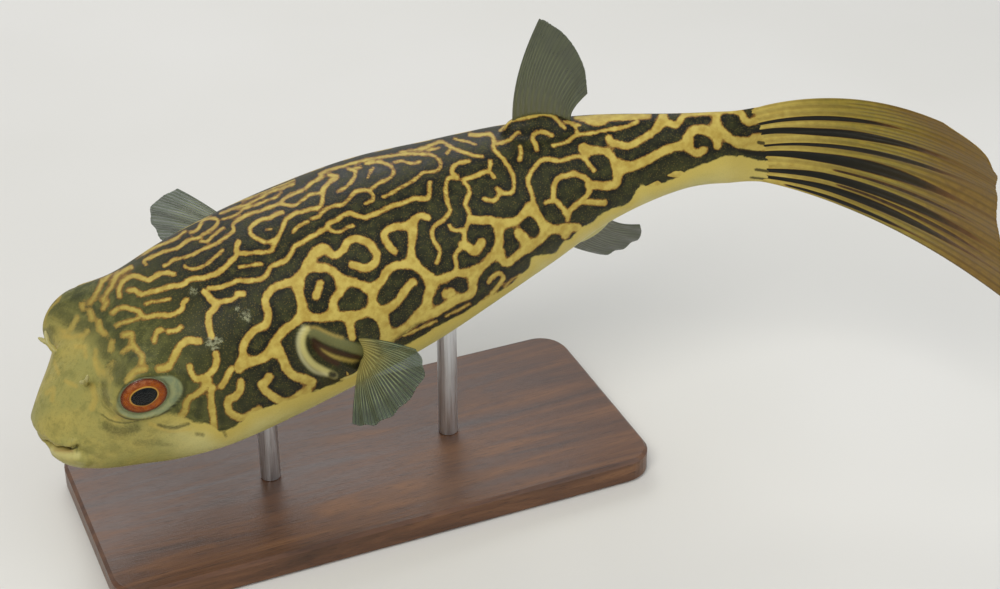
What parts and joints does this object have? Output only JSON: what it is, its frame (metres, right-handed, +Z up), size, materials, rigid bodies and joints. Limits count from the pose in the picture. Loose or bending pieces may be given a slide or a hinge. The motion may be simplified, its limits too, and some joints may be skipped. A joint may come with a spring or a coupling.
{
  "type": "giant freshwater pufferfish on a display stand",
  "caption": "Giant freshwater pufferfish, life size, swimming nose down with its tail curved aside, held over a flat base by short rods.",
  "frame": {"origin": "centre of the underside of the stand's base, on the floor", "axes": "+X from the head to the tail along the base, +Z up, so the fish's left side faces -Y"},
  "size_m": [0.4074, 0.2191, 0.2152],
  "materials": {
    "skin": "moist scaleless skin, dark olive with a yellow network, plain khaki snout and pale yellow belly",
    "tail_fin": "moist rayed fin, yellow-brown with black stripes along the rays",
    "clear_fin": "thin rayed fin, grey-olive and slightly see-through",
    "eye": "wet eye, orange-red iris round a black pupil",
    "stand_wood": "dark stained wood, satin",
    "stand_steel": "brushed steel"
  },
  "bodies": {
    "root": {"head": "skin", "lower_jaw": "skin", "trunk": "skin", "tail_stalk": "skin", "eye_left": "eye", "eye_right": "eye", "nasal_tentacle_left": "skin", "nasal_tentacle_right": "skin", "gill_flap_left": "skin", "gill_flap_right": "skin", "pectoral_base_left": "skin", "pectoral_base_right": "skin", "pectoral_fin_left": "clear_fin", "pectoral_fin_right": "clear_fin", "dorsal_fin": "clear_fin", "anal_fin": "clear_fin", "caudal_fin": "tail_fin", "stand_base": "stand_wood", "stand_rod_front": "stand_steel", "stand_rod_rear": "stand_steel"}
  },
  "joints": []
}
